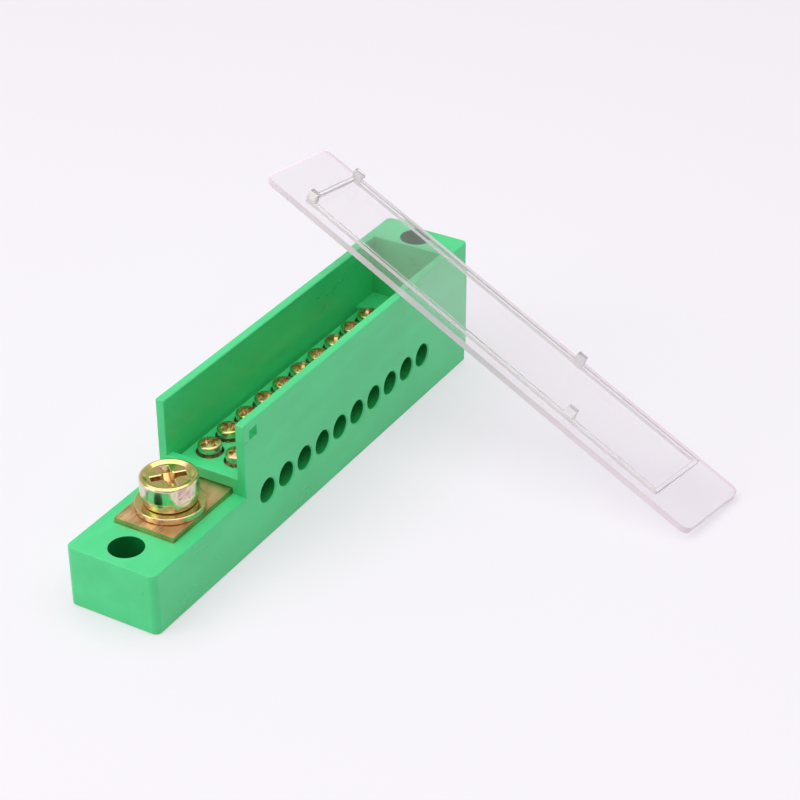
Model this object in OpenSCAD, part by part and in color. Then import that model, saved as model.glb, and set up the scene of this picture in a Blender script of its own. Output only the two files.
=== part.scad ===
// Power distribution block: a moulded housing round a solid bar, two rows of clamp screws,
// a main terminal screw and a clear cover lifted off and left leaning on the housing.
// x runs along the housing from the main terminal to the end block, z is up,
// and the origin is the middle of the flat base. Sizes along the housing are measured
// from the end that carries the main terminal. Millimetres and degrees.

/* [Housing] */
// Length of the housing
housing_l = 166.5; // [160:0.5:185]
// Width of the housing
housing_w = 29; // [28:0.5:34]
// Height of the side walls
housing_h = 41.7; // [38:0.1:50]
// Thickness of the side walls
wall_t = 2.9; // [2.4:0.1:3.2]
// Radius of the upright corners
corner_r = 2; // [1:0.1:3]

/* [Platform] */
// Length of the low end in front of the side walls
platform_l = 42.7; // [41:0.1:44]
// Height of the low end
platform_h = 18.9; // [17:0.1:20]

/* [Trough] */
// Height of the floor between the side walls above the bar
floor_t = 1.6; // [1:0.1:2.5]
// Thickness of the lip across the front of the floor
lip_t = 2.5; // [1.5:0.1:3.5]
// Height of the lip above the floor
lip_h = 2.05; // [0.5:0.05:3]
// Height of the raised far end of the floor above the floor
ledge_h = 0.9; // [0.5:0.1:1.5]
// Gap between the last screws' wells and the raised far end of the floor
ledge_clear = 0.3; // [0.2:0.1:1]
// Length of the solid block that closes the far end
end_block_l = 13.4; // [13.2:0.1:16]

/* [Mounting holes] */
// Distance of each hole from its end of the housing
mount_inset = 7.7; // [7:0.1:8]
// Diameter of the hole for the screw shank
mount_d = 5.5; // [4.5:0.1:6]
// Diameter of the mouth that takes the screw head
mount_head_d = 10; // [8:0.1:10.4]
// Thickness left under the screw head
mount_seat = 5; // [3:0.5:8]

/* [Wire entries] */
// Number of wire entries along each side
way_count = 10; // [4:1:10]
// Distance of the first wire entry from the end of the housing
way_first = 53.3; // [52:0.1:54]
// Distance of the last wire entry from the far end of the housing
way_last = 28.15; // [28:0.05:32]
// Diameter of the hole in the housing
way_d = 7.3; // [7.2:0.1:8]
// Chamfer round the mouth of the hole
way_chamfer = 0.4; // [0.2:0.1:0.5]

/* [Bar] */
// Distance of the bar from the end of the housing
bar_inset = 15.5; // [13.5:0.1:16]
// Distance of the bar from the far end of the housing
bar_far_inset = 18.5; // [16:0.1:20]
// Width of the bar
bar_w = 19.4; // [18:0.1:21]
// Height of the bar
bar_h = 12; // [11.5:0.5:15]
// How far the bar stands above the low end
bar_proud = 1.5; // [0.5:0.1:2.5]
// Diameter of the wire hole in the bar
bar_way_d = 7; // [5:0.1:7.1]
// Depth of the middle of the wire hole below the top of the bar
bar_way_depth = 5.2; // [4.8:0.1:6]

/* [Clamp screws] */
// Distance of each row of screws from the middle of the bar
screw_row = 4.7; // [4.5:0.1:5]
// Thread diameter
screw_d = 4; // [3:0.5:4]
// Length under the head
screw_l = 10; // [8:0.5:10.5]
// Chamfer at the tip
screw_tip = 0.6; // [0.6:0.1:0.9]
// Diameter of the head
screw_head_d = 6.8; // [6:0.1:7.6]
// Height of the head at its middle
screw_head_h = 2.5; // [2.2:0.1:3.2]
// Height of the straight side of the head
screw_side_h = 1.6; // [1.2:0.1:2]
// Height of the underside of the head above the bar
screw_lift = 2.4; // [1.6:0.1:3]
// Gap round the head where the floor is open to the bar
well_clear = 0.6; // [0.3:0.05:0.7]
// Length of the straight slot
screw_slot_l = 5.6; // [4:0.1:6]
// Width of the straight slot
screw_slot_w = 1.1; // [0.8:0.1:1.4]
// Depth of the straight slot below the top of the head
screw_slot_h = 1.3; // [0.8:0.1:1.5]
// Width across the cross at the top of the head
screw_cross_l = 4.8; // [3:0.1:5]
// Width of the arms of the cross
screw_cross_w = 1.1; // [0.6:0.1:1.2]
// Depth of the cross below the top of the head
screw_cross_h = 1.9; // [1.4:0.1:2.1]
// Turn of the first screw
screw_turn_first = 24; // [0:1:180]
// Turn from one screw to the next
screw_turn_step = 67; // [0:1:180]

/* [Main terminal] */
// Distance of the main screw from the end of the housing
main_inset = 27.8; // [26:0.1:30]
// Thread diameter
main_d = 8; // [6:0.5:8]
// Length under the head
main_l = 14; // [10:0.5:15]
// Chamfer at the tip
main_tip = 1; // [0.5:0.1:1.5]
// Diameter of the head
main_head_d = 16.2; // [13:0.1:17]
// Height of the head
main_head_h = 5.3; // [5:0.1:7]
// Radius round the top of the head
main_rim_r = 1; // [0.5:0.1:2]
// Width of the rim round the dished top of the head
main_lip_w = 1.1; // [0.8:0.1:2]
// Depth of the dish
main_dish_h = 0.7; // [0.3:0.1:1]
// Width of the sloping side of the dish
main_dish_slope = 1; // [0.4:0.1:1.5]
// Width across the cross in the flat of the dish
main_cross_l = 9.8; // [7:0.1:10]
// Width of the arms of the cross
main_cross_w = 2.2; // [1.2:0.1:2.4]
// Depth of the cross below the flat of the dish
main_cross_h = 3.2; // [2:0.1:3.5]
// Turn of the cross
main_turn = 50; // [0:1:90]
// Outside diameter of the flat washer
flat_od = 19.5; // [16:0.1:20]
// Thickness of the flat washer
flat_t = 1.9; // [1:0.1:2]
// Outside diameter of the spring washer
spring_od = 14.8; // [12.5:0.1:15]
// Thickness of the spring washer
spring_t = 2.1; // [1.5:0.1:2.5]
// How far the coil of the spring washer rises in one turn
spring_rise = 0.9; // [0.4:0.1:2]
// Gap where the spring washer is split
spring_gap = 0.8; // [0.4:0.1:1.5]
// How far the split leans over the thickness of the spring washer
spring_lean = 0.8; // [0:0.1:1.5]
// Turn of the split
spring_turn = 298; // [0:1:360]
// Gap between the main screw and its washers
washer_clear = 0.2; // [0.1:0.05:0.4]

/* [Cover] */
// Thickness of the plate
cover_t = 2.2; // [1.5:0.1:3]
// How far the plate reaches past each end of the housing
cover_over = 0.5; // [0:0.1:1]
// How far the plate stays inside each long side of the housing
cover_under = 0.5; // [0:0.1:1]
// Radius of the corners of the plate
cover_corner_r = 2.5; // [1:0.1:4]
// Where the rim starts, from the end of the housing
rim_inset = 13.5; // [10:0.5:20]
// Gap between the rim and the trough when the cover is on
rim_clear = 0.3; // [0.2:0.05:0.5]
// Width of the rim
rim_w = 1.2; // [0.8:0.1:2]
// Height of the rim
rim_h = 1.2; // [0.8:0.1:2]
// Where the near hook and its window are, from the end of the housing
hook_near = 47.15; // [47:0.05:50]
// Where the far hooks and their windows are, from the far end of the housing
hook_far_inset = 15.5; // [15.5:0.1:18]
// Where the plain tab is, from the end of the housing
tab_at = 59.5; // [55:0.5:70]
// Width of a hook along the cover
hook_w = 3; // [2:0.1:3]
// Thickness of a hook
hook_t = 1.5; // [1.2:0.1:2]
// Height of a hook from the inner face of the plate
hook_h = 4.5; // [4:0.1:5]
// How far the barb of a hook stands out
barb_out = 1.2; // [0.8:0.1:1.5]
// Height of the catching face of the barb
barb_h = 2.6; // [2.6:0.1:3]
// Width of a window in the side wall
window_w = 3.7; // [3.4:0.1:4]
// Height of a window in the side wall
window_h = 3; // [2.6:0.1:4]
// Depth of the blind windows of the far hooks in the side walls
window_depth = 1.6; // [1.5:0.1:2]
// Distance of a window below the top of the side wall
window_drop = 2.5; // [2.2:0.1:2.5]

/* [Leaning cover] */
// Slope of the cover across the housing
cover_tilt = 21.75; // [20:0.25:23]
// Turn of the cover in its own plane
cover_turn = 8.3; // [5:0.1:12]
// Where the lower end of the cover lies along the housing, from its middle
cover_at = 26.75; // [20:0.25:30]

/* [Hidden] */
eps = 0.01;
fine = 64;
coarse = 40;
coil_steps = 30;

half_l = housing_l / 2;
half_w = housing_w / 2;
trough_w = housing_w - 2 * wall_t;
trough_end = housing_l - end_block_l;
way_pitch = (housing_l - way_first - way_last) / (way_count - 1);
bar_l = housing_l - bar_inset - bar_far_inset;
hook_far = housing_l - hook_far_inset;
well_d = screw_head_d + 2 * well_clear;
ledge_at = housing_l - way_last + well_d / 2 + ledge_clear;
bar_top = platform_h + bar_proud;
bar_bottom = bar_top - bar_h;
floor_z = bar_top + floor_t;
way_z = bar_top - bar_way_depth;
head_z = bar_top + screw_lift;
dome_h = screw_head_h - screw_side_h;
dome_r = (pow(screw_head_d / 2, 2) + pow(dome_h, 2)) / (2 * dome_h);
spring_z = bar_top + flat_t;
main_z = spring_z + spring_t + spring_rise;
main_flat_z = main_head_h - main_dish_h;
washer_id = main_d + 2 * washer_clear;
cover_l = housing_l + 2 * cover_over;
cover_w = housing_w - 2 * cover_under;
rim_edge = wall_t + rim_clear - cover_under;
rim_start = rim_inset + cover_over;
rim_end = trough_end - rim_clear + cover_over;

// The lowest corner of the plate is on the table and its outer face is on the top edge of the wall
corner_drop = (cover_w - cover_corner_r) * sin(cover_turn) + cover_corner_r * (1 - cos(cover_turn));
cover_low = sin(cover_tilt) * corner_drop;
cover_y = -half_w - (housing_h - cover_low) / tan(cover_tilt);

function screw_name(side, i) = str("clamp_screw_", side, i < 10 ? "_0" : "_", i);
function along(distance) = distance - half_l;
function way_x(i) = along(way_first + (i - 1) * way_pitch);

// Corners of the coil's section as [radius, height], round its four sides
coil_section = [[washer_id / 4, 0], [spring_od, 0], [spring_od, spring_t], [washer_id / 4, spring_t]];
coil_gap = 360 * spring_gap / (PI * spring_od);
coil_lean = 360 * spring_lean / (PI * spring_od * spring_t);
function coil_turn(k) = coil_gap / 2 + k * (360 - coil_gap) / coil_steps;
function coil_point(k, corner) =
    let (turn = coil_turn(k) + coil_lean * corner[1])
    [corner[0] * cos(turn), corner[0] * sin(turn), corner[1] + k * spring_rise / coil_steps];
function coil_side(k, j) =
    let (n = (j + 1) % 4)
    [[4 * k + j, 4 * k + n, 4 * k + 4 + n], [4 * k + j, 4 * k + 4 + n, 4 * k + 4 + j]];

module rounded_plate(l, w, h, r) {
    linear_extrude(h) {
        translate([r, 0]) square([l - 2 * r, w]);
        translate([0, r]) square([l, w - 2 * r]);
        for (x = [r, l - r], y = [r, w - r]) {
            translate([x, y]) circle(r, $fn = fine);
        }
    }
}

module mounting_hole(x) {
    translate([x, 0, -eps]) cylinder(d = mount_d, h = housing_h, $fn = fine);
    translate([x, 0, mount_seat]) cylinder(d = mount_head_d, h = housing_h, $fn = fine);
}

module wire_entry(x) {
    translate([x, half_w + eps, way_z])
        rotate([90, 0, 0])
            cylinder(d = way_d, h = housing_w + 2 * eps, $fn = fine);
    for (turn = [90, -90]) {
        translate([x, 0, way_z])
            rotate([turn, 0, 0])
                translate([0, 0, half_w - way_chamfer])
                    cylinder(d1 = way_d, d2 = way_d + 2 * way_chamfer + 2 * eps,
                        h = way_chamfer + eps, $fn = fine);
    }
}

// A window that goes a given depth into a side wall from the trough
module window(x, side, depth) {
    middle = side * (half_w - wall_t + depth / 2);
    translate([along(x) - window_w / 2, middle - depth / 2 - eps, housing_h - window_drop - window_h])
        cube([window_w, depth + 2 * eps, window_h]);
}

module housing() {
    color("#4CD183") difference() {
        translate([-half_l, -half_w, 0]) rounded_plate(housing_l, housing_w, housing_h, corner_r);
        translate([-half_l - eps, -half_w - eps, platform_h])
            cube([platform_l + eps, housing_w + 2 * eps, housing_h]);
        translate([along(platform_l) - eps, -trough_w / 2, floor_z + lip_h])
            cube([trough_end - platform_l + eps, trough_w, housing_h]);
        translate([along(platform_l + lip_t), -trough_w / 2, floor_z])
            cube([ledge_at - platform_l - lip_t, trough_w, housing_h]);
        translate([along(ledge_at) - eps, -trough_w / 2, floor_z + ledge_h])
            cube([trough_end - ledge_at + eps, trough_w, housing_h]);
        translate([along(bar_inset), -bar_w / 2, bar_bottom]) cube([bar_l, bar_w, bar_h]);
        for (i = [1:way_count]) {
            wire_entry(way_x(i));
            for (y = [-screw_row, screw_row]) {
                translate([way_x(i), y, bar_top - eps])
                    cylinder(d = well_d, h = floor_t + 2 * eps, $fn = fine);
            }
        }
        mounting_hole(along(mount_inset));
        mounting_hole(-along(mount_inset));
        window(hook_near, -1, wall_t);
        window(hook_far, -1, window_depth);
        window(hook_far, 1, window_depth);
    }
}

module busbar() {
    color("#C9A063") difference() {
        translate([along(bar_inset), -bar_w / 2, bar_bottom]) cube([bar_l, bar_w, bar_h]);
        for (i = [1:way_count]) {
            translate([way_x(i), bar_w / 2 + eps, way_z])
                rotate([90, 0, 0])
                    cylinder(d = bar_way_d, h = bar_w + 2 * eps, $fn = fine);
            for (y = [-screw_row, screw_row]) {
                translate([way_x(i), y, way_z])
                    cylinder(d = screw_d, h = bar_way_depth + eps, $fn = coarse);
            }
        }
        translate([along(main_inset), 0, bar_bottom - eps])
            cylinder(d = main_d, h = bar_h + 2 * eps, $fn = coarse);
    }
}

// A cross that narrows towards its point
module cross_recess(l, w, h) {
    intersection() {
        for (turn = [0, 90]) {
            rotate(turn) translate([-l / 2, -w / 2, -h]) cube([l, w, h + eps]);
        }
        translate([0, 0, -h]) cylinder(d1 = w, d2 = l, h = h + eps, $fn = coarse);
    }
}

module shank(d, l, tip) {
    translate([0, 0, tip - l]) cylinder(d = d, h = l - tip + eps, $fn = coarse);
    translate([0, 0, -l]) cylinder(d1 = d - 2 * tip, d2 = d, h = tip, $fn = coarse);
}

module clamp_screw(i, side) {
    color("#D8C27A")
        translate([way_x(i), side * screw_row, head_z])
            rotate(screw_turn_first + i * screw_turn_step + side * screw_turn_first) {
                difference() {
                    intersection() {
                        cylinder(d = screw_head_d, h = screw_head_h, $fn = coarse);
                        translate([0, 0, screw_head_h - dome_r]) sphere(dome_r, $fn = fine);
                    }
                    translate([-screw_slot_l / 2, -screw_slot_w / 2, screw_head_h - screw_slot_h])
                        cube([screw_slot_l, screw_slot_w, screw_slot_h + eps]);
                    translate([0, 0, screw_head_h]) cross_recess(screw_cross_l, screw_cross_w, screw_cross_h);
                }
                shank(screw_d, screw_l, screw_tip);
            }
}

module main_screw() {
    head_r = main_head_d / 2;
    dish_r = head_r - main_lip_w;
    color("#D8C27A")
        translate([along(main_inset), 0, main_z])
            rotate(main_turn) {
                difference() {
                    rotate_extrude($fn = fine) {
                        square([head_r, main_head_h - main_rim_r]);
                        square([head_r - main_rim_r, main_head_h]);
                        translate([head_r - main_rim_r, main_head_h - main_rim_r]) circle(main_rim_r, $fn = coarse);
                    }
                    translate([0, 0, main_flat_z])
                        cylinder(r1 = dish_r - main_dish_slope, r2 = dish_r, h = main_dish_h + eps, $fn = fine);
                    translate([0, 0, main_flat_z]) cross_recess(main_cross_l, main_cross_w, main_cross_h);
                }
                shank(main_d, main_l, main_tip);
            }
}

// One turn of a square coil, wider and deeper than the spring washer that is cut from it
module spring_coil() {
    corners = [for (k = [0:coil_steps], corner = coil_section) coil_point(k, corner)];
    sides = [for (k = [0:coil_steps - 1], j = [0:3]) each coil_side(k, j)];
    far = 4 * coil_steps;
    ends = [[0, 3, 2], [0, 2, 1], [far, far + 1, far + 2], [far, far + 2, far + 3]];
    polyhedron(corners, concat(sides, ends));
}

module main_spring_washer() {
    color("#D8C27A")
        translate([along(main_inset), 0, spring_z])
            rotate(spring_turn)
                intersection() {
                    spring_coil();
                    difference() {
                        cylinder(d = spring_od, h = spring_t + spring_rise, $fn = fine);
                        translate([0, 0, -eps])
                            cylinder(d = washer_id, h = spring_t + spring_rise + 2 * eps, $fn = fine);
                    }
                }
}

module main_flat_washer() {
    color("#D8C27A")
        translate([along(main_inset), 0, bar_top])
            difference() {
                cylinder(d = flat_od, h = flat_t, $fn = fine);
                translate([0, 0, -eps]) cylinder(d = washer_id, h = flat_t + 2 * eps, $fn = fine);
            }
}

module tab(x) {
    translate([x + cover_over - hook_w / 2, rim_edge, -hook_h]) cube([hook_w, hook_t, hook_h + eps]);
}

module hook(x) {
    tab(x);
    translate([x + cover_over + hook_w / 2, rim_edge, -hook_h])
        rotate([90, 0, -90])
            linear_extrude(hook_w)
                polygon([[-eps, 0], [barb_out, hook_h - barb_h], [-eps, hook_h - barb_h]]);
}

module cover_flat() {
    rounded_plate(cover_l, cover_w, cover_t, cover_corner_r);
    difference() {
        translate([rim_start, rim_edge, -rim_h])
            cube([rim_end - rim_start, cover_w - 2 * rim_edge, rim_h + eps]);
        translate([rim_start + rim_w, rim_edge + rim_w, -rim_h - eps])
            cube([rim_end - rim_start - 2 * rim_w, cover_w - 2 * rim_edge - 2 * rim_w, rim_h + eps]);
    }
    hook(hook_near);
    hook(hook_far);
    translate([0, cover_w, 0]) mirror([0, 1, 0]) {
        tab(tab_at);
        hook(hook_far);
    }
}

module cover() {
    color("#E8E4F0", 0.5)
        translate([cover_at, cover_y, cover_low])
            rotate([cover_tilt, 0, 0])
                translate([0, 0, cover_t])
                    rotate([180, 0, 90 - cover_turn])
                        cover_flat();
}

housing();
busbar();
main_screw();
main_spring_washer();
main_flat_washer();
cover();
for (i = [1:way_count]) {
    clamp_screw(i, 1);
    clamp_screw(i, -1);
}
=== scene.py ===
import math

import bmesh
import bpy
from bpy.props import FloatProperty, FloatVectorProperty, PointerProperty
from mathutils import Euler, Matrix, Vector
from mathutils.bvhtree import BVHTree


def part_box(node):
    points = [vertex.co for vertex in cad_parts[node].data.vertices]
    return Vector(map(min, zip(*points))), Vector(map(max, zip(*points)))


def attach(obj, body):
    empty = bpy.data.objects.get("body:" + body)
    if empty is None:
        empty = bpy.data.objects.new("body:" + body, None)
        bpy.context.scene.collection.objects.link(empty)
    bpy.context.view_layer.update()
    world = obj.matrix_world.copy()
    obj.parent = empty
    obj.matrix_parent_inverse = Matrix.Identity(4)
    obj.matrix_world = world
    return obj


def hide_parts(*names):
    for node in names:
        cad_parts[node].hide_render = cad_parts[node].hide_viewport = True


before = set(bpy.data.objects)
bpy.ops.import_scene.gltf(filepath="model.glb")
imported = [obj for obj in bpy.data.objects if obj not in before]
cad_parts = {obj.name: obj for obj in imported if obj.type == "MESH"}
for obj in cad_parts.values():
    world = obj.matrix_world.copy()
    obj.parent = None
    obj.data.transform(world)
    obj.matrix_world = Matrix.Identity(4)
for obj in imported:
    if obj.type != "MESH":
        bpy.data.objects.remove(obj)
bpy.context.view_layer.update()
MM = 0.001

bl_info = {
    "name": "Power Distribution Block",
    "version": (1, 0, 0),
    "blender": (4, 5, 0),
    "location": "View3D > Sidebar > Block",
    "description": "Finishes the solids of a power distribution block and sets up its studio",
    "category": "Object",
}

SIDES = ("left", "right")
WAYS = sum(name.startswith("clamp_screw_left_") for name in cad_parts)
CLAMP_SCREWS = [f"clamp_screw_{side}_{i:02d}" for side in SIDES for i in range(1, WAYS + 1)]


def linear(hex_colour):
    """Linear red, green, blue and alpha of an sRGB hex colour."""
    values = [int(hex_colour[i:i + 2], 16) / 255 for i in (1, 3, 5)]
    return [v / 12.92 if v <= 0.04045 else ((v + 0.055) / 1.055) ** 2.4 for v in values] + [1.0]


def length(name, description, default):
    """A size in metres that shows in the sidebar."""
    return FloatProperty(name=name, description=description, default=default, unit="LENGTH", precision=5)


def degrees(name, description, default):
    """An angle, given in degrees, that shows in the sidebar."""
    return FloatProperty(name=name, description=description, default=math.radians(default), subtype="ANGLE")


def share(name, description, default):
    """A share of one that shows in the sidebar."""
    return FloatProperty(name=name, description=description, default=default, min=0, max=1, subtype="FACTOR")


def power(name, description, default):
    """The power of a lamp in watts that shows in the sidebar."""
    return FloatProperty(name=name, description=description, default=default, unit="POWER")


def spot(name, description, default):
    """A place in the frame that shows in the sidebar."""
    return FloatVectorProperty(
        name=name, description=description, default=default, size=3, subtype="TRANSLATION", precision=4)


def colour(name, description, hex_colour):
    """A colour that shows in the sidebar."""
    return FloatVectorProperty(
        name=name, description=description, default=linear(hex_colour), size=4, subtype="COLOR", min=0, max=1)


class HousingSettings(bpy.types.PropertyGroup):
    """Sizes and colours of the green moulding and the brass bar in it."""

    edge: length("Edge radius", "Rounding of the moulded edges", 0.44 * MM)
    wall: length("Wall", "Thickness of the side walls", 2.9 * MM)
    floor: length("Floor", "Height of the floor between the side walls", 22 * MM)
    groove: length("Groove", "Width of the groove along the foot of each side wall", 1.1 * MM)
    groove_depth: length("Groove depth", "Depth of the groove", 1.4 * MM)
    groove_start: length("Groove start", "Where the grooves start, from the main screw's end", 45.2 * MM)
    groove_end: length("Groove end", "Where the grooves end, from the other end", 23.85 * MM)
    bar_edge: length("Bar edge radius", "Largest rounding of the bar's edges", 0.2 * MM)
    green: colour("Green", "Main colour of the moulding", "#4ADC8C")
    green_deep: colour("Deep green", "Colour in the faint flow marks", "#43D484")
    hollow: length("Hollow", "Width under which a hole or a well counts as narrow", 11 * MM)
    slit: length("Slit", "Width under which a hole is shallow and stays light", 4.5 * MM)
    # Painted shade for narrow holes: darker greens that stand in for the shade inside them
    painted_shade_green: colour("Hollow green", "Main colour in narrow holes", "#0E7A3A")
    painted_shade_deep: colour("Deep hollow green", "Colour in the faint flow marks in narrow holes", "#0C7436")
    # Painted light on the lower walls of narrow holes
    painted_light_lower_green: colour("Lower hollow green", "Colour of the lower walls of narrow holes", "#2AB45C")
    brass: colour("Brass", "Main colour of the bar", "#DAB786")
    brass_dark: colour("Dark brass", "Colour in the bar's scratches", "#AD8452")


class ScrewSettings(bpy.types.PropertyGroup):
    """Sizes and colours of the screws and washers."""

    edge: length("Edge radius", "Rounding of the edges of screws and washers", 0.15 * MM)
    clamp_thread: length("Clamp screw thread", "Diameter over the thread of a clamp screw", 4 * MM)
    clamp_pitch: length("Clamp screw pitch", "Pitch of the thread of a clamp screw", 0.7 * MM)
    clamp_length: length("Clamp screw length", "Length of a clamp screw under its head", 10 * MM)
    clamp_crown: length("Clamp screw crown", "How far the top of the head falls to its edge", 0.5 * MM)
    clamp_round: length("Clamp screw rounding", "Radius round the top of the head", 0.6 * MM)
    clamp_slot: length("Clamp screw slot", "Length of the straight slot", 5.8 * MM)
    clamp_slot_width: length("Clamp screw slot width", "Width of the straight slot", 1.2 * MM)
    clamp_slot_depth: length("Clamp screw slot depth", "Depth of the straight slot", 1.5 * MM)
    clamp_cross: length("Clamp screw cross", "Width across the cross", 5.0 * MM)
    clamp_cross_width: length("Clamp screw cross arm", "Width of an arm of the cross", 1.35 * MM)
    clamp_cross_depth: length("Clamp screw cross depth", "Depth of the cross", 1.9 * MM)
    turn_first: degrees("First turn", "Turn of the first screw", 159)
    turn_step: degrees("Turn step", "Turn from one screw to the next", 97)
    main_thread: length("Main screw thread", "Diameter over the thread of the main screw", 8 * MM)
    main_pitch: length("Main screw pitch", "Pitch of the thread of the main screw", 1.25 * MM)
    main_length: length("Main screw length", "Length of the main screw under its head", 14 * MM)
    main_rim: length("Main screw rim", "Radius round the top of the head", 1.0 * MM)
    main_lip: length("Main screw lip", "Width of the rim round the dished top", 1.1 * MM)
    main_dish: length("Main screw dish", "Depth of the dish", 0.7 * MM)
    main_slope: length("Main screw slope", "Width of the sloping side of the dish", 1.0 * MM)
    main_cross: length("Main screw cross", "Width across the cross", 9.8 * MM)
    main_cross_width: length("Main screw cross arm", "Width of an arm of the cross", 2.2 * MM)
    main_cross_depth: length("Main screw cross depth", "Depth of the cross", 3.2 * MM)
    main_turn: degrees("Main turn", "Turn of the main screw", 50)
    clamp_dent: length("Clamp screw dents", "Depth of the dents in a clamp screw", 0.06 * MM)
    clamp_rough: share("Clamp screw roughness", "Roughness of the clamp screws", 0.28)
    main_dent: length("Main screw dents", "Depth of the dents in the main screw and its washers", 0.01 * MM)
    main_rough: share("Main screw roughness", "Roughness of the main screw and its washers", 0.17)
    spring_bore: length("Spring washer bore", "Inside diameter of the spring washer", 8.4 * MM)
    spring_thickness: length("Spring washer thickness", "Thickness of the spring washer", 2.8 * MM)
    spring_gap: length("Spring washer gap", "Gap where the spring washer is split", 0.8 * MM)
    spring_lean: length("Spring washer lean", "How far the split leans over the thickness", 0.8 * MM)
    spring_turn: degrees("Spring washer turn", "Turn of the split", 298)
    zinc: colour("Zinc", "Main colour of the yellow passivated zinc", "#CDC074")
    zinc_green: colour("Zinc green", "Greenish colour of a thin film", "#B6BC66")
    zinc_pink: colour("Zinc pink", "Pinkish colour of a thick film", "#DCAE84")
    # Painted light: paler colours for upright faces than for faces that point up
    painted_side_green: colour("Side green", "Greenish colour of the film on upright faces", "#C9CC92")
    painted_side_pale: colour("Side pale", "Main colour of the film on upright faces", "#E4DDC6")
    painted_side_pink: colour("Side pink", "Pinkish colour of the film on upright faces", "#E2C5AC")
    painted_side_mauve: colour("Side mauve", "Mauve colour of the film on upright faces", "#A89CA6")
    # Painted shade in recesses
    painted_shade_amber: colour("Amber", "Colour painted in recesses as shade", "#C4935A")


class CoverSettings(bpy.types.PropertyGroup):
    """Sizes and colours of the clear cover."""

    edge: length("Edge radius", "Largest rounding of the cover's edges", 0.2 * MM)
    clear: colour("Clear", "Tint of what is seen through the plate", "#FDFAFC")
    haze: share("Haze", "Share of the light that the plate scatters", 0.035)
    rough: share("Roughness", "Roughness of the plate", 0.03)
    rim: colour("Rim", "Tint of the rim and the hooks", "#FFFBFB")
    rim_haze: share("Rim haze", "Share of the light that the rim and the hooks scatter", 0.55)
    rim_rough: share("Rim roughness", "Roughness of the rim and the hooks", 0.4)
    side: colour("Side", "Tint of the outer sides", "#F3E3EB")
    side_haze: share("Side haze", "Share of the light that the outer sides scatter", 0.95)
    side_rough: share("Side roughness", "Roughness of the outer sides", 0.1)
    side_reach: length("Side reach", "How far in from the outline a face is still an outer side", 0.9 * MM)


class StageSettings(bpy.types.PropertyGroup):
    """Camera, floor and lamps."""

    camera_at: spot("Camera place", "Where the camera stands", (-0.441213, -0.299787, 0.353606))
    camera_turn: FloatVectorProperty(
        name="Camera turn", description="How the camera is turned", size=3, subtype="EULER",
        default=[math.radians(a) for a in (58.23554, 0.11008, -59.49398)])
    lens: FloatProperty(
        name="Lens", description="Focal length on a sensor 36 mm wide", default=98.067, unit="CAMERA")
    floor_size: length("Floor size", "Width of the floor", 6.0)
    floor_drop: length("Floor drop", "How far the floor lies under the block", 0.05 * MM)
    floor: colour("Floor", "Colour of the floor and the backdrop", "#F7F3F9")
    floor_shade: share("Shadow share", "How much of the floor's own shading shows", 0.5)
    sky: FloatProperty(name="Sky", description="Strength of the even light from all round", default=0.45)
    key: power("Key", "Power of the large lamp over the block", 16.0)
    key_size: length("Key size", "Width of the large lamp", 1.9)
    key_at: spot("Key place", "Where the large lamp hangs", (-0.2, 0, 1.1))
    front: power("Front", "Power of the lamp before the block", 4.5)
    front_size: length("Front size", "Width of the lamp before the block", 1.0)
    front_at: spot("Front place", "Where the lamp before the block stands", (-1.2, 0.9, 0.5))
    aim: spot("Aim", "What the lamps point at", (0, 0, 0.02))


def new_object(name, data):
    """A linked object for a mesh, a lamp or a camera."""
    obj = bpy.data.objects.new(name, data)
    bpy.context.scene.collection.objects.link(obj)
    return obj


def mesh_from(bm, name):
    """A mesh object of a bmesh, which is freed."""
    mesh = bpy.data.meshes.new(name)
    bm.to_mesh(mesh)
    bm.free()
    return new_object(name, mesh)


def discard(obj):
    """Removes an object and its mesh."""
    mesh = obj.data
    bpy.data.objects.remove(obj)
    bpy.data.meshes.remove(mesh)


def settle(obj):
    """The object again with its modifiers turned into a plain mesh."""
    evaluated = obj.evaluated_get(bpy.context.evaluated_depsgraph_get())
    mesh = bpy.data.meshes.new_from_object(evaluated)
    mesh.name = obj.name
    old = obj.data
    obj.modifiers.clear()
    obj.data = mesh
    bpy.data.meshes.remove(old)
    return obj


def merged_copy(node, name):
    """A copy of a CAD node with its triangles joined, its flat faces made whole and no stored normals."""
    closest = 0.002 * MM
    flattest = math.radians(0.6)
    bm = bmesh.new()
    bm.from_mesh(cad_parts[node].data)
    bmesh.ops.remove_doubles(bm, verts=bm.verts, dist=closest)
    bmesh.ops.dissolve_limit(bm, angle_limit=flattest, verts=bm.verts, edges=bm.edges)
    obj = mesh_from(bm, name)
    stored = obj.data.attributes.get("custom_normal")
    if stored:
        obj.data.attributes.remove(stored)
    return obj


def shade(obj, angle=35):
    """Shades an object smooth across edges that are blunter than an angle, with its flats flat."""
    for face in obj.data.polygons:
        face.use_smooth = True
    obj.data.set_sharp_from_angle(angle=math.radians(angle))
    weighted = obj.modifiers.new("Flats", "WEIGHTED_NORMAL")
    weighted.keep_sharp = True
    weighted.use_face_influence = True
    return settle(obj)


def free_lengths(mesh, reach):
    """The free length before each face, up to a reach, found by a ray ahead and six slanting ones round it.
    A face with walls all round counts by the nearest one."""
    lift = 0.01 * MM
    slant = 0.3
    points = [vertex.co for vertex in mesh.vertices]
    tree = BVHTree.FromPolygons(points, [face.vertices for face in mesh.polygons])
    lengths = []
    for face in mesh.polygons:
        start = face.center + lift * face.normal
        side = face.normal.orthogonal()
        ways = [face.normal]
        for k in range(6):
            ways.append(slant * face.normal + Matrix.Rotation(math.pi / 3 * k, 3, face.normal) @ side)
        ahead, *around = [tree.ray_cast(start, way, reach)[3] or reach for way in ways]
        lengths.append(ahead if max(around) == reach else min(ahead, *around))
    return lengths


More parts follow.
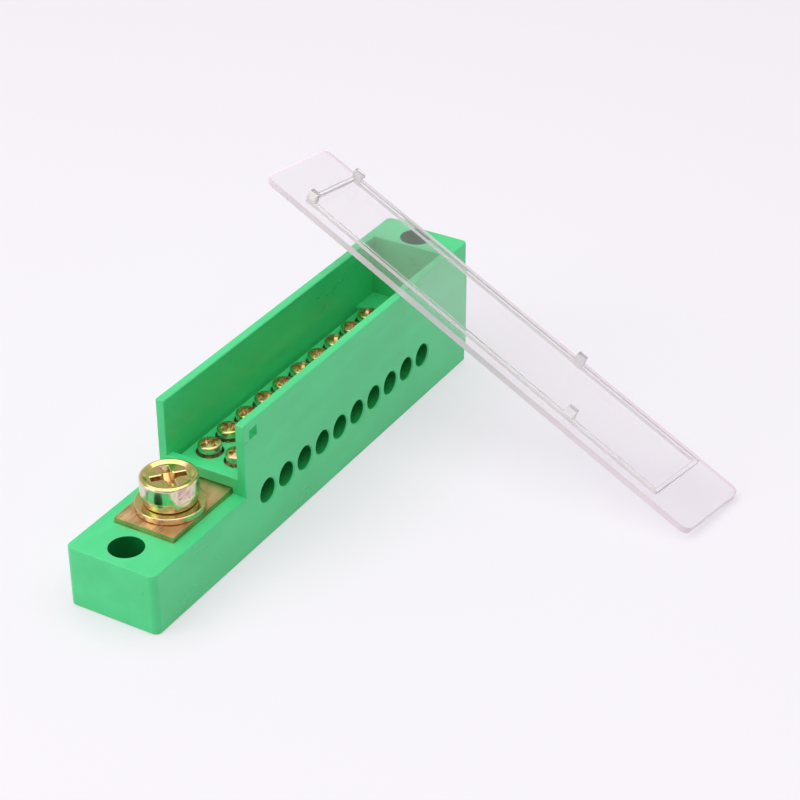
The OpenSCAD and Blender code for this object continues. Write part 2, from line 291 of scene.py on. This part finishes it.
def weigh_outer_edges(obj, reach, angle=60):
    """Gives a bevel weight to sharp edges between faces that look out, and none to the mouths of holes."""
    free = free_lengths(obj.data, reach)
    bm = bmesh.new()
    bm.from_mesh(obj.data)
    weight = bm.edges.layers.float.new("bevel_weight_edge")
    for edge in bm.edges:
        if edge.is_convex and edge.calc_face_angle() > math.radians(angle):
            edge[weight] = float(all(free[face.index] == reach for face in edge.link_faces))
    bm.to_mesh(obj.data)
    bm.free()


def soften(obj, radius, limit="ANGLE", segments=3, angle=60):
    """Rounds the edges that are sharper than an angle, or those with a weight, and shades the result. The
    rounding shrinks to what the closest edges leave room for."""
    bevel = obj.modifiers.new("Edges", "BEVEL")
    bevel.width = radius
    bevel.segments = segments
    bevel.limit_method = limit
    bevel.angle_limit = math.radians(angle)
    bevel.use_clamp_overlap = True
    bevel.miter_outer = "MITER_ARC"
    bevel.face_strength_mode = "FSTR_ALL"
    if limit == "WEIGHT":
        weld = obj.modifiers.new("Close points", "WELD")
        weld.merge_threshold = radius / 5
    return shade(settle(obj))


def finish_piece(obj, material, slot, *nodes):
    """Gives a piece its material and puts it in the place of its CAD nodes. The slot is not used."""
    obj.data.materials.clear()
    obj.data.materials.append(material)
    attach(obj, "root")
    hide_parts(*nodes)


def add(tree, kind, inputs=None, **settings):
    """Adds a node, sets its settings and its inputs, and links the inputs that are given as sockets."""
    item = tree.nodes.new(kind)
    for name, value in settings.items():
        setattr(item, name, value)
    for name, value in (inputs or {}).items():
        socket = item.inputs[name]
        if isinstance(value, bpy.types.NodeSocket):
            tree.links.new(value, socket)
        else:
            socket.default_value = value
    return item


def new_material(name):
    """An empty node material and its tree."""
    material = bpy.data.materials.new(name)
    material.use_nodes = True
    material.node_tree.nodes.clear()
    return material, material.node_tree


def blend_stops(tree, factor, *stops):
    """The colour output of a ramp through (place, colour) stops."""
    ramp = add(tree, "ShaderNodeValToRGB", {"Fac": factor})
    while len(ramp.color_ramp.elements) < len(stops):
        ramp.color_ramp.elements.new(0.5)
    for element, (place, value) in zip(ramp.color_ramp.elements, stops):
        element.position = place
        element.color = value
    return ramp.outputs["Color"]


def moulded_nylon(name, green, green_deep, lower=None):
    """Nylon from a polished steel mould: one even green with a soft gloss that shows blurred reflections,
    faint flow marks some 20 mm long and a fine skin of 0.5 mm. Given a lower colour, faces that point up
    take it: painted light, which lights the lower walls of narrow holes."""
    material, tree = new_material(name)
    surface = add(tree, "ShaderNodeTexCoord").outputs
    place = surface["Object"]
    along = add(tree, "ShaderNodeMapping", {"Vector": place, "Scale": (0.35, 1.0, 1.0)}).outputs["Vector"]
    flow = add(tree, "ShaderNodeTexNoise", {"Vector": along, "Scale": 1 / (8 * MM), "Detail": 3.0})
    skin = add(tree, "ShaderNodeTexNoise", {"Vector": place, "Scale": 1 / (0.5 * MM), "Detail": 2.0})
    base = blend_stops(tree, flow.outputs["Fac"], (0.35, green_deep), (0.65, green))
    # Painted light: faces that point up take the lower colour
    if lower is not None:
        up = add(tree, "ShaderNodeSeparateXYZ", {"Vector": surface["Normal"]}).outputs["Z"]
        facing = add(tree, "ShaderNodeMapRange", {"Value": up, "From Min": -0.1, "From Max": 0.9})
        base = add(tree, "ShaderNodeMix", {
            0: facing.outputs["Result"], 6: base, 7: lower}, data_type="RGBA").outputs[2]
    rough = add(tree, "ShaderNodeMapRange", {
        "Value": flow.outputs["Fac"], "From Min": 0.3, "From Max": 0.7, "To Min": 0.27, "To Max": 0.36})
    bump = add(tree, "ShaderNodeBump", {
        "Height": skin.outputs["Fac"], "Strength": 0.05, "Distance": 0.02 * MM})
    shader = add(tree, "ShaderNodeBsdfPrincipled", {
        "Base Color": base, "Roughness": rough.outputs["Result"], "IOR": 1.53,
        "Normal": bump.outputs["Normal"]})
    add(tree, "ShaderNodeOutputMaterial", {"Surface": shader.outputs["BSDF"]})
    return material


def drawn_brass(settings):
    """Brass drawn through a die and sawn to length: a warm yellow metal with fine scratches along
    the bar, drawn 0.4 mm apart so that they show, and a little tarnish in patches of 6 mm."""
    material, tree = new_material("Drawn brass bar")
    place = add(tree, "ShaderNodeTexCoord").outputs["Object"]
    along = add(tree, "ShaderNodeMapping", {"Vector": place, "Scale": (0.04, 1.0, 1.0)}).outputs["Vector"]
    scratch = add(tree, "ShaderNodeTexNoise", {"Vector": along, "Scale": 1 / (0.4 * MM), "Detail": 4.0})
    patch = add(tree, "ShaderNodeTexNoise", {"Vector": place, "Scale": 1 / (6 * MM), "Detail": 3.0})
    both = add(tree, "ShaderNodeMath", {
        0: scratch.outputs["Fac"], 1: patch.outputs["Fac"]}, operation="ADD")
    mean = add(tree, "ShaderNodeMath", {0: both.outputs[0], 1: 0.5}, operation="MULTIPLY")
    base = blend_stops(tree, mean.outputs[0], (0.36, settings.brass_dark), (0.58, settings.brass))
    rough = add(tree, "ShaderNodeMapRange", {
        "Value": scratch.outputs["Fac"], "From Min": 0.3, "From Max": 0.7, "To Min": 0.25, "To Max": 0.48})
    bump = add(tree, "ShaderNodeBump", {
        "Height": scratch.outputs["Fac"], "Strength": 0.5, "Distance": 0.03 * MM})
    shader = add(tree, "ShaderNodeBsdfPrincipled", {
        "Base Color": base, "Metallic": 1.0, "Roughness": rough.outputs["Result"],
        "Normal": bump.outputs["Normal"]})
    add(tree, "ShaderNodeOutputMaterial", {"Surface": shader.outputs["BSDF"]})
    return material


def yellow_zinc(settings, name, dent, rough):
    """Steel plated with zinc and dipped in a yellow passivate: a bright mirror, gold on faces that point up
    and paler on upright ones, which is painted light. It turns greenish where the film is thin and pinkish
    where it is thick, in patches of about 3 mm, with a painted shade of dull brownish gold in recesses that
    an ambient occlusion node finds, over dents 0.5 mm apart."""
    material, tree = new_material(name)
    surface = add(tree, "ShaderNodeTexCoord").outputs
    place = surface["Object"]
    film = add(tree, "ShaderNodeTexNoise", {
        "Vector": place, "Scale": 1 / (3 * MM), "Detail": 2.0, "Distortion": 0.6}).outputs["Fac"]
    grain = add(tree, "ShaderNodeTexNoise", {"Vector": place, "Scale": 1 / (0.5 * MM), "Detail": 2.0})
    upper = blend_stops(
        tree, film, (0.36, settings.zinc_green), (0.5, settings.zinc), (0.66, settings.zinc_pink))
    # Painted light: upright faces take a paler ramp than faces that point up, picked by which way a face
    # points
    upright = blend_stops(
        tree, film, (0.34, settings.painted_side_green), (0.46, settings.painted_side_pale), (0.6, settings.painted_side_pink),
        (0.7, settings.painted_side_mauve))
    up = add(tree, "ShaderNodeSeparateXYZ", {"Vector": surface["Normal"]}).outputs["Z"]
    facing = add(tree, "ShaderNodeMapRange", {"Value": up, "From Min": 0.3, "From Max": 0.8})
    plain = add(tree, "ShaderNodeMix", {
        0: facing.outputs["Result"], 6: upright, 7: upper}, data_type="RGBA")
    # Painted shade: recesses that an ambient occlusion node finds take the dull shade colour and a duller
    # gloss
    painted_shade_openness = add(tree, "ShaderNodeAmbientOcclusion", {"Distance": 3 * MM}, samples=8).outputs["AO"]
    free = add(tree, "ShaderNodeMapRange", {
        "Value": painted_shade_openness, "From Min": 0.2, "From Max": 0.65}).outputs["Result"]
    base = add(tree, "ShaderNodeMix", {0: free, 6: settings.painted_shade_amber, 7: plain.outputs[2]}, data_type="RGBA")
    varied = add(tree, "ShaderNodeMapRange", {
        "Value": film, "From Min": 0.3, "From Max": 0.7, "To Min": rough - 0.04, "To Max": rough + 0.04})
    duller = add(tree, "ShaderNodeMix", {0: free, 2: 0.5, 3: varied.outputs["Result"]})
    bump = add(tree, "ShaderNodeBump", {
        "Height": grain.outputs["Fac"], "Strength": 0.6, "Distance": dent})
    shader = add(tree, "ShaderNodeBsdfPrincipled", {
        "Base Color": base.outputs[2], "Metallic": 1.0, "Roughness": duller.outputs[0],
        "Normal": bump.outputs["Normal"]})
    add(tree, "ShaderNodeOutputMaterial", {"Surface": shader.outputs["BSDF"]})
    return material


def clear_polystyrene(name, tint, haze, rough, frosted=False):
    """Clear polystyrene from a polished mould: it bends what is seen through it, so that its edges and rims
    show as bright and dark lines, with a sharp gloss, a share of haze and a faintly wavy face, in waves of
    about 15 mm. A frosted face, seen from inside the plastic, glows with the light that falls on it from
    outside."""
    material, tree = new_material(name)
    place = add(tree, "ShaderNodeTexCoord").outputs["Object"]
    wave = add(tree, "ShaderNodeTexNoise", {"Vector": place, "Scale": 1 / (15 * MM), "Detail": 1.0})
    bump = add(tree, "ShaderNodeBump", {
        "Height": wave.outputs["Fac"], "Strength": 0.1, "Distance": 0.05 * MM})
    shader = add(tree, "ShaderNodeBsdfPrincipled", {
        "Base Color": tint, "Roughness": rough, "IOR": 1.58, "Transmission Weight": 1 - haze,
        "Normal": bump.outputs["Normal"]})
    surface = shader.outputs["BSDF"]
    if frosted:
        inside = add(tree, "ShaderNodeNewGeometry").outputs["Backfacing"]
        glow = add(tree, "ShaderNodeBsdfTranslucent", {"Color": tint}).outputs["BSDF"]
        surface = add(tree, "ShaderNodeMixShader", {0: inside, 1: surface, 2: glow}).outputs["Shader"]
    add(tree, "ShaderNodeOutputMaterial", {"Surface": surface})
    return material


def rounded(corners, closed=False, steps=6):
    """The points of an outline of (x, y, radius) corners, each corner turned into an arc of its radius."""
    points = []
    for index, (x, y, radius) in enumerate(corners):
        here = Vector((x, y))
        if radius == 0 or not closed and index in (0, len(corners) - 1):
            points.append((x, y))
            continue
        back = (Vector(corners[index - 1][:2]) - here).normalized()
        ahead = (Vector(corners[(index + 1) % len(corners)][:2]) - here).normalized()
        half = back.angle(ahead) / 2
        centre = here + (back + ahead).normalized() * radius / math.sin(half)
        first = here + back * radius / math.tan(half) - centre
        last = here + ahead * radius / math.tan(half) - centre
        sweep = math.pi - 2 * half
        for k in range(steps + 1):
            part = k / steps
            spoke = first * math.sin(sweep * (1 - part)) + last * math.sin(sweep * part)
            points.append(tuple(centre + spoke / math.sin(sweep)))
    return points


def join_rings(bm, rings):
    """Puts faces between each ring of points and the next. The first or the last ring may be one point."""
    for upper, lower in zip(rings, rings[1:]):
        count = max(len(upper), len(lower))
        for k in range(count):
            n = (k + 1) % count
            if len(upper) == 1:
                bm.faces.new((upper[0], lower[k], lower[n]))
            elif len(lower) == 1:
                bm.faces.new((upper[n], upper[k], lower[0]))
            else:
                bm.faces.new((upper[n], upper[k], lower[k], lower[n]))
    bmesh.ops.recalc_face_normals(bm, faces=bm.faces)


def turned(name, outline, segments):
    """A closed solid of revolution of (radius, height) points from its top middle to its bottom middle.
    A point may also carry the depth and the pitch of a thread there."""
    flank = 1.5
    crest = 0.25
    bm = bmesh.new()
    rings = []
    for radius, height, *thread in outline:
        if radius == 0:
            rings.append([bm.verts.new((0, 0, height))])
            continue
        ring = []
        for k in range(segments):
            angle = 2 * math.pi * k / segments
            r = radius
            if thread:
                depth, pitch = thread
                phase = (height / pitch - k / segments) % 1
                r -= depth * min(1, max(0, abs(2 * phase - 1) * flank - crest))
            ring.append(bm.verts.new((r * math.cos(angle), r * math.sin(angle), height)))
        rings.append(ring)
    join_rings(bm, rings)
    return mesh_from(bm, name)


def threaded(outline, diameter, pitch, bottom, tip):
    """The outline of a threaded shank, carried on from the last point of an outline down to its tip."""
    radius = diameter / 2
    depth = 0.6 * pitch
    start = outline[-1][1]
    step = pitch / 6
    rows = int((start - bottom - tip) / step)
    shank = [(radius, start - step * k, depth, pitch) for k in range(1, rows)]
    end = [(radius - depth, bottom + tip), (radius - depth - tip / 2, bottom), (0, bottom)]
    return outline + shank + end


def rectangle(size, width):
    """The corners of a rectangle round the axis."""
    return [(sx * size / 2, sy * width / 2) for sx, sy in ((-1, -1), (1, -1), (1, 1), (-1, 1))]


def cross(span, width, web):
    """The corners of a cross round the axis whose inner corners are filled by a slanted web."""
    end = span / 2
    side = width / 2
    arm = [(end, -side), (end, side), (side + web, side), (side, side + web)]
    return [tuple(Matrix.Rotation(math.pi / 2 * k, 2) @ Vector(point)) for k in range(4) for point in arm]


def cutter(name, levels):
    """A closed cutting tool through (outline, height) levels from its top to its bottom."""
    bm = bmesh.new()
    rings = [[bm.verts.new((x, y, height)) for x, y in outline] for outline, height in levels]
    bm.faces.new(rings[0])
    bm.faces.new(rings[-1][::-1])
    join_rings(bm, rings)
    return mesh_from(bm, name)


def cross_cutter(name, span, width, depth, top):
    """The tool of a cross recess: it flares at its mouth, has steep arms and a low point."""
    over = 0.5 * MM
    flare = 0.1 * width
    web = 0.35 * width
    mouth = cross(span + 2 * flare, width + 2 * flare, web)
    waist = cross(0.9 * span, 0.92 * width, 0.9 * web)
    point = cross(0.4 * span, 0.7 * width, 0.3 * web)
    return cutter(name, [
        (mouth, top + over), (mouth, top), (cross(span, width, web), top - flare),
        (waist, top - 0.6 * depth), (point, top - depth)])


def cut(obj, tools, weld):
    """Cuts the tools out of an object, removes them and welds what lies closer than a distance."""
    flattest = math.radians(0.5)
    for tool in tools:
        boolean = obj.modifiers.new("Cut", "BOOLEAN")
        boolean.operation = "DIFFERENCE"
        boolean.solver = "EXACT"
        boolean.object = tool
    settle(obj)
    for tool in tools:
        discard(tool)
    bm = bmesh.new()
    bm.from_mesh(obj.data)
    bmesh.ops.remove_doubles(bm, verts=bm.verts, dist=weld)
    bmesh.ops.dissolve_degenerate(bm, edges=bm.edges, dist=weld / 2)
    bmesh.ops.dissolve_limit(bm, angle_limit=flattest, verts=bm.verts, edges=bm.edges)
    bm.to_mesh(obj.data)
    bm.free()
    return obj


def coil(name, corners, rise, gap, lean, turn, steps):
    """One open turn of a coil whose section has (radius, height, rounding) corners. The gap is an angle, and
    so is the lean of the coil's ends for each length of height."""
    section = rounded(corners, closed=True, steps=3)
    bm = bmesh.new()
    rings = []
    for k in range(steps + 1):
        start = turn + gap / 2 + k * (2 * math.pi - gap) / steps
        ring = []
        for radius, height in section:
            angle = start + lean * height
            ring.append(bm.verts.new((
                radius * math.cos(angle), radius * math.sin(angle), height + rise * k / steps)))
        rings.append(ring)
    bm.faces.new(rings[0])
    bm.faces.new(rings[-1][::-1])
    join_rings(bm, rings)
    return mesh_from(bm, name)


def on_axis(low, high, height):
    """The point at a height on the upright middle line of a box."""
    return Vector(((low.x + high.x) / 2, (low.y + high.y) / 2, height))


class BLOCK_OT_housing(bpy.types.Operator):
    """Cuts the grooves of the green housing, rounds its edges and gives it its plastic, with painted shade in
    narrow holes
    """

    bl_idname = "block.housing"
    bl_label = "Housing"

    def grooves(self, settings):
        """The tools of the two grooves along the feet of the side walls."""
        low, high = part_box("housing")
        over = 1 * MM
        start = low.x + settings.groove_start
        end = high.x - settings.groove_end
        outer = high.y - settings.wall
        inner = outer - settings.groove
        tools = []
        for side in (-1, 1):
            corners = [(start, side * inner), (end, side * inner), (end, side * outer), (start, side * outer)]
            tools.append(cutter("groove", [
                (corners, settings.floor + over), (corners, settings.floor - settings.groove_depth)]))
        return tools

    def execute(self, context):
        settings = context.scene.block_housing
        piece = cut(merged_copy("housing", "housing_moulding"), self.grooves(settings), weld=0.01 * MM)
        weigh_outer_edges(piece, settings.hollow)
        soften(piece, settings.edge, "WEIGHT")
        green = moulded_nylon("Moulded green nylon", settings.green, settings.green_deep)
        finish_piece(piece, green, "green_plastic", "housing")
        piece.data.materials.append(moulded_nylon(
            "Moulded nylon hollows", settings.painted_shade_green, settings.painted_shade_deep, settings.painted_light_lower_green))
        # Painted shade: faces in narrow holes that are not shallow take the second, darker material
        for face, free in zip(piece.data.polygons, free_lengths(piece.data, settings.hollow)):
            face.material_index = int(settings.slit < free < settings.hollow)
        return {"FINISHED"}


class BLOCK_OT_busbar(bpy.types.Operator):
    """Rounds the edges of the bar and gives it its brass"""

    bl_idname = "block.busbar"
    bl_label = "Bar"

    def execute(self, context):
        settings = context.scene.block_housing
        piece = soften(merged_copy("busbar", "brass_bar"), settings.bar_edge, segments=2)
        finish_piece(piece, drawn_brass(settings), "brass_bar", "busbar")
        return {"FINISHED"}


class BLOCK_OT_clamp_screws(bpy.types.Operator):
    """Makes one clamp screw and sets it in every tapped hole of the bar"""

    bl_idname = "block.clamp_screws"
    bl_label = "Clamp screws"

    def one_screw(self, settings, head_radius, head_height):
        """A pan head screw with its underside at height zero."""
        head = rounded([
            (0, head_height, 0), (head_radius, head_height - settings.clamp_crown, settings.clamp_round),
            (head_radius, 0, 0), (settings.clamp_thread / 2, 0, 0)])
        outline = threaded(
            head, settings.clamp_thread, settings.clamp_pitch, -settings.clamp_length, tip=0.6 * MM)
        screw = turned("clamp_screw_master", outline, segments=40)
        over = 0.5 * MM
        slot_mouth = rectangle(settings.clamp_slot, settings.clamp_slot_width)
        slot_foot = rectangle(0.98 * settings.clamp_slot, 0.9 * settings.clamp_slot_width)
        tools = [
            cross_cutter("clamp_cross", settings.clamp_cross, settings.clamp_cross_width,
                         settings.clamp_cross_depth, head_height),
            cutter("clamp_slot", [
                (slot_mouth, head_height + over), (slot_foot, head_height - settings.clamp_slot_depth)])]
        cut(screw, tools, weld=0.02 * MM)
        return soften(screw, 0.4 * settings.edge, segments=2, angle=50)

    def row_tree(self):
        """Geometry nodes that set a screw on every point, each turned a step on from the last."""
        tree = bpy.data.node_groups.new("Clamp screw rows", "GeometryNodeTree")
        for name, kind in (("Places", "NodeSocketGeometry"), ("Screw", "NodeSocketObject"),
                           ("First turn", "NodeSocketFloat"), ("Turn step", "NodeSocketFloat"),
                           ("Finish", "NodeSocketMaterial")):
            tree.interface.new_socket(name, in_out="INPUT", socket_type=kind)
        tree.interface.new_socket("Screws", in_out="OUTPUT", socket_type="NodeSocketGeometry")
        given = add(tree, "NodeGroupInput").outputs
        count = add(tree, "GeometryNodeInputIndex").outputs["Index"]
        steps = add(tree, "ShaderNodeMath", {0: count, 1: given["Turn step"]}, operation="MULTIPLY")
        turn = add(tree, "ShaderNodeMath", {0: steps.outputs[0], 1: given["First turn"]}, operation="ADD")
        spin = add(tree, "ShaderNodeCombineXYZ", {"Z": turn.outputs[0]})
        shape = add(tree, "GeometryNodeObjectInfo", {"Object": given["Screw"]})
        spread = add(tree, "GeometryNodeInstanceOnPoints", {
            "Points": given["Places"], "Instance": shape.outputs["Geometry"],
            "Rotation": spin.outputs["Vector"]})
        real = add(tree, "GeometryNodeRealizeInstances", {"Geometry": spread.outputs["Instances"]})
        painted = add(tree, "GeometryNodeSetMaterial", {
            "Geometry": real.outputs["Geometry"], "Material": given["Finish"]})
        add(tree, "NodeGroupOutput", {"Screws": painted.outputs["Geometry"]})
        return tree

    def execute(self, context):
        settings = context.scene.block_screws
        low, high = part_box(CLAMP_SCREWS[0])
        head_radius = (high.x - low.x) / 2
        head_height = high.z - low.z - settings.clamp_length
        screw = self.one_screw(settings, head_radius, head_height)
        bm = bmesh.new()
        for name in CLAMP_SCREWS:
            low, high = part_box(name)
            bm.verts.new(on_axis(low, high, low.z + settings.clamp_length))
        screws = mesh_from(bm, "clamp_screws")
        zinc = yellow_zinc(
            settings, "Barrel plated yellow zinc steel", settings.clamp_dent, settings.clamp_rough)
        values = {
            "Screw": screw, "Finish": zinc,
            "First turn": settings.turn_first, "Turn step": settings.turn_step}
        modifier = screws.modifiers.new("Rows", "NODES")
        modifier.node_group = self.row_tree()
        for item in modifier.node_group.interface.items_tree:
            if item.in_out == "INPUT" and item.name in values:
                modifier[item.identifier] = values[item.name]
        settle(screws)
        discard(screw)
        finish_piece(screws, zinc, "yellow_zinc_steel", *CLAMP_SCREWS)
        return {"FINISHED"}


class BLOCK_OT_main_terminal(bpy.types.Operator):
    """Makes the main screw and its spring washer, and rounds the edges of its flat washer"""

    bl_idname = "block.main_terminal"
    bl_label = "Main terminal"

    def main_screw(self, settings):
        """A screw with a dished head and a cross recess."""
        low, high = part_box("main_screw")
        radius = (high.x - low.x) / 2
        height = high.z - low.z - settings.main_length
        flat = height - settings.main_dish
        dish = radius - settings.main_lip
        slope_foot = 0.6 * MM
        slope_top = 0.25 * MM
        foot = 0.3 * MM
        head = rounded([
            (0, flat, 0), (dish - settings.main_slope, flat, slope_foot), (dish, height, slope_top),
            (radius, height, settings.main_rim), (radius, 0, foot), (settings.main_thread / 2, 0, 0)])
        outline = threaded(
            head, settings.main_thread, settings.main_pitch, -settings.main_length, tip=1.0 * MM)
        screw = turned("main_screw_turned", outline, segments=96)
        tool = cross_cutter("main_cross", settings.main_cross, settings.main_cross_width,
                            settings.main_cross_depth, flat)
        tool.data.transform(Matrix.Rotation(settings.main_turn, 4, "Z"))
        shade(cut(screw, [tool], weld=0.01 * MM))
        screw.data.transform(Matrix.Translation(on_axis(low, high, low.z + settings.main_length)))
        return screw

    def spring_washer(self, settings):
        """A split washer that is screwed down almost flat, so that it rises only a little in its turn."""
        low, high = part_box("main_spring_washer")
        outer = (high.x - low.x) / 2
        inner = settings.spring_bore / 2
        thick = settings.spring_thickness
        round_off = 2 * settings.edge
        corners = [(x, y, round_off) for x, y in ((inner, 0), (outer, 0), (outer, thick), (inner, thick))]
        washer = coil(
            "spring_washer", corners, rise=high.z - low.z - thick, gap=settings.spring_gap / outer,
            lean=settings.spring_lean / outer / thick, turn=settings.spring_turn, steps=96)
        washer.data.transform(Matrix.Translation(on_axis(low, high, low.z)))
        return shade(washer)

    def execute(self, context):
        settings = context.scene.block_screws
        zinc = yellow_zinc(settings, "Yellow zinc plated steel", settings.main_dent, settings.main_rough)
        finish_piece(self.main_screw(settings), zinc, "yellow_zinc_steel", "main_screw")
        finish_piece(self.spring_washer(settings), zinc, "yellow_zinc_steel", "main_spring_washer")
        washer = soften(merged_copy("main_flat_washer", "flat_washer"), 2 * settings.edge)
        finish_piece(washer, zinc, "yellow_zinc_steel", "main_flat_washer")
        return {"FINISHED"}


class BLOCK_OT_cover(bpy.types.Operator):
    """Rounds the edges of the loose cover and makes it clear"""

    bl_idname = "block.cover"
    bl_label = "Cover"

    def sort_faces(self, mesh, reach):
        """Gives the upright faces the second material, or the third where they lie on the outline."""
        up = max(mesh.polygons, key=lambda face: face.area).normal.copy()
        ends = [[mesh.vertices[i].co for i in edge.vertices] for edge in mesh.edges]
        along = max((b - a for a, b in ends), key=lambda span: span.length).normalized()
        limits = []
        for axis in (along, up.cross(along)):
            places = [vertex.co.dot(axis) for vertex in mesh.vertices]
            limits.append((axis, min(places) + reach, max(places) - reach))
        for face in mesh.polygons:
            if abs(face.normal.dot(up)) < 0.9:
                inside = all(low < face.center.dot(axis) < high for axis, low, high in limits)
                face.material_index = 1 if inside else 2

    def execute(self, context):
        settings = context.scene.block_cover
        piece = soften(merged_copy("cover", "clear_cover"), settings.edge)
        plate = clear_polystyrene("Clear moulded polystyrene", settings.clear, settings.haze, settings.rough)
        rim = clear_polystyrene("Clear polystyrene rim", settings.rim, settings.rim_haze, settings.rim_rough)
        sides = clear_polystyrene(
            "Hazy polystyrene sides", settings.side, settings.side_haze, settings.side_rough, frosted=True)
        finish_piece(piece, plate, "clear_plastic", "cover")
        piece.data.materials.append(rim)
        piece.data.materials.append(sides)
        self.sort_faces(piece.data, settings.side_reach)
        return {"FINISHED"}


class BLOCK_OT_stage(bpy.types.Operator):
    """Sets the floor, the lamps, the even light and the camera"""

    bl_idname = "block.stage"
    bl_label = "Studio"

    def table_top(self, settings):
        """White table top: even and matt, so that only the soft shadow of the block marks it. A part of its
        own shading gives way to plain white where a ray comes from the camera, whether straight, mirrored or
        through the cover."""
        material, tree = new_material("Matt white table top")
        path = add(tree, "ShaderNodeLightPath").outputs
        mirrored = add(tree, "ShaderNodeMath", {
            0: path["Is Camera Ray"], 1: path["Is Glossy Ray"]}, operation="MAXIMUM")
        seen = add(tree, "ShaderNodeMath", {
            0: mirrored.outputs[0], 1: path["Is Transmission Ray"]}, operation="MAXIMUM")
        part = add(tree, "ShaderNodeMath", {
            0: seen.outputs[0], 1: 1 - settings.floor_shade}, operation="MULTIPLY")
        matt = add(tree, "ShaderNodeBsdfDiffuse", {"Color": settings.floor})
        even = add(tree, "ShaderNodeEmission", {"Color": settings.floor, "Strength": 1.0})
        mixed = add(tree, "ShaderNodeMixShader", {
            0: part.outputs[0], 1: matt.outputs[0], 2: even.outputs[0]})
        add(tree, "ShaderNodeOutputMaterial", {"Surface": mixed.outputs[0]})
        return material

    def lay_floor(self, settings):
        """A flat table top just under the block."""
        bm = bmesh.new()
        bmesh.ops.create_grid(bm, x_segments=1, y_segments=1, size=settings.floor_size / 2)
        floor = mesh_from(bm, "table_top")
        floor.data.transform(Matrix.Translation((0, 0, -settings.floor_drop)))
        floor.data.materials.append(self.table_top(settings))

    def level(self, tree, way, *stops):
        """A grey level by how far the direction goes along a way, through (reach, level) stops."""
        seen = add(tree, "ShaderNodeTexCoord").outputs["Generated"]
        reach = add(tree, "ShaderNodeVectorMath", {0: seen, 1: way}, operation="DOT_PRODUCT")
        greys = [(place, (grey, grey, grey, 1)) for place, grey in stops]
        return blend_stops(tree, reach.outputs["Value"], *greys)

    def light_room(self, context, settings):
        """Even light from all round, dimmer from one side. Metal mirrors a pale room with a darker band at
        half height and a dark doorway, and the camera sees a plain backdrop."""
        up = (0, 0, 1)
        dim_side = (-0.67, -0.47, 0.57)
        doorway = (-0.811, -0.547, 0.208)
        world = bpy.data.worlds.new("Even studio light")
        context.scene.world = world
        world.use_nodes = True
        tree = world.node_tree
        tree.nodes.clear()
        light = self.level(tree, dim_side, (0.5, 1.0), (0.9, 0.1))
        walls = self.level(tree, up, (0.25, 0.9), (0.5, 0.62), (0.65, 0.62), (0.85, 0.9))
        door = self.level(tree, doorway, (0.9, 1.0), (0.96, 0.3))
        room = add(tree, "ShaderNodeMix", {
            "Factor": 1.0, 6: walls, 7: door}, data_type="RGBA", blend_type="MULTIPLY")
        even = add(tree, "ShaderNodeBackground", {"Color": light, "Strength": settings.sky})
        mirrored = add(tree, "ShaderNodeBackground", {"Color": room.outputs[2], "Strength": 1.0})
        backdrop = add(tree, "ShaderNodeBackground", {"Color": settings.floor, "Strength": 1.0})
        path = add(tree, "ShaderNodeLightPath").outputs
        lit = add(tree, "ShaderNodeMixShader", {
            0: path["Is Glossy Ray"], 1: even.outputs[0], 2: mirrored.outputs[0]})
        straight = add(tree, "ShaderNodeMath", {
            0: path["Is Camera Ray"], 1: path["Is Transmission Ray"]}, operation="MAXIMUM")
        seen = add(tree, "ShaderNodeMixShader", {
            0: straight.outputs[0], 1: lit.outputs[0], 2: backdrop.outputs[0]})
        add(tree, "ShaderNodeOutputWorld", {"Surface": seen.outputs[0]})

    def hang_lamp(self, name, watts, size, place, aim):
        """A square soft lamp that points at a place."""
        data = bpy.data.lights.new(name, "AREA")
        data.energy = watts
        data.size = size
        lamp = new_object(name, data)
        lamp.location = place
        lamp.rotation_euler = (Vector(aim) - Vector(place)).to_track_quat("-Z", "Y").to_euler()

    def set_camera(self, context, settings):
        """The camera at the photograph's viewing angle."""
        data = bpy.data.cameras.new("camera")
        data.lens = settings.lens
        data.sensor_width = 36
        data.clip_start = 0.01
        camera = new_object("camera", data)
        camera.location = settings.camera_at
        camera.rotation_euler = Euler(settings.camera_turn, "XYZ")
        context.scene.camera = camera

    def execute(self, context):
        settings = context.scene.block_stage
        self.lay_floor(settings)
        self.light_room(context, settings)
        self.hang_lamp("key_lamp", settings.key, settings.key_size, settings.key_at, settings.aim)
        self.hang_lamp("front_lamp", settings.front, settings.front_size, settings.front_at, settings.aim)
        self.set_camera(context, settings)
        context.scene.view_settings.view_transform = "Standard"
        return {"FINISHED"}


SETTINGS = {
    "block_housing": HousingSettings,
    "block_screws": ScrewSettings,
    "block_cover": CoverSettings,
    "block_stage": StageSettings,
}
OPERATORS = (
    BLOCK_OT_housing,
    BLOCK_OT_busbar,
    BLOCK_OT_clamp_screws,
    BLOCK_OT_main_terminal,
    BLOCK_OT_cover,
    BLOCK_OT_stage,
)


class BLOCK_PT_panel(bpy.types.Panel):
    """Lists the pieces of the block and its studio"""

    bl_idname = "BLOCK_PT_panel"
    bl_label = "Power distribution block"
    bl_space_type = "VIEW_3D"
    bl_region_type = "UI"
    bl_category = "Block"

    def draw(self, context):
        for operator in OPERATORS:
            self.layout.operator(operator.bl_idname)
        for name, group in SETTINGS.items():
            box = self.layout.box()
            for key in group.__annotations__:
                box.prop(getattr(context.scene, name), key)


CLASSES = (*SETTINGS.values(), *OPERATORS, BLOCK_PT_panel)


def register():
    for item in CLASSES:
        bpy.utils.register_class(item)
    for name, group in SETTINGS.items():
        setattr(bpy.types.Scene, name, PointerProperty(type=group))


def unregister():
    for name in SETTINGS:
        delattr(bpy.types.Scene, name)
    for item in reversed(CLASSES):
        bpy.utils.unregister_class(item)


def main():
    register()
    for operator in OPERATORS:
        group, name = operator.bl_idname.split(".")
        getattr(getattr(bpy.ops, group), name)()


if __name__ == "__main__":
    main()
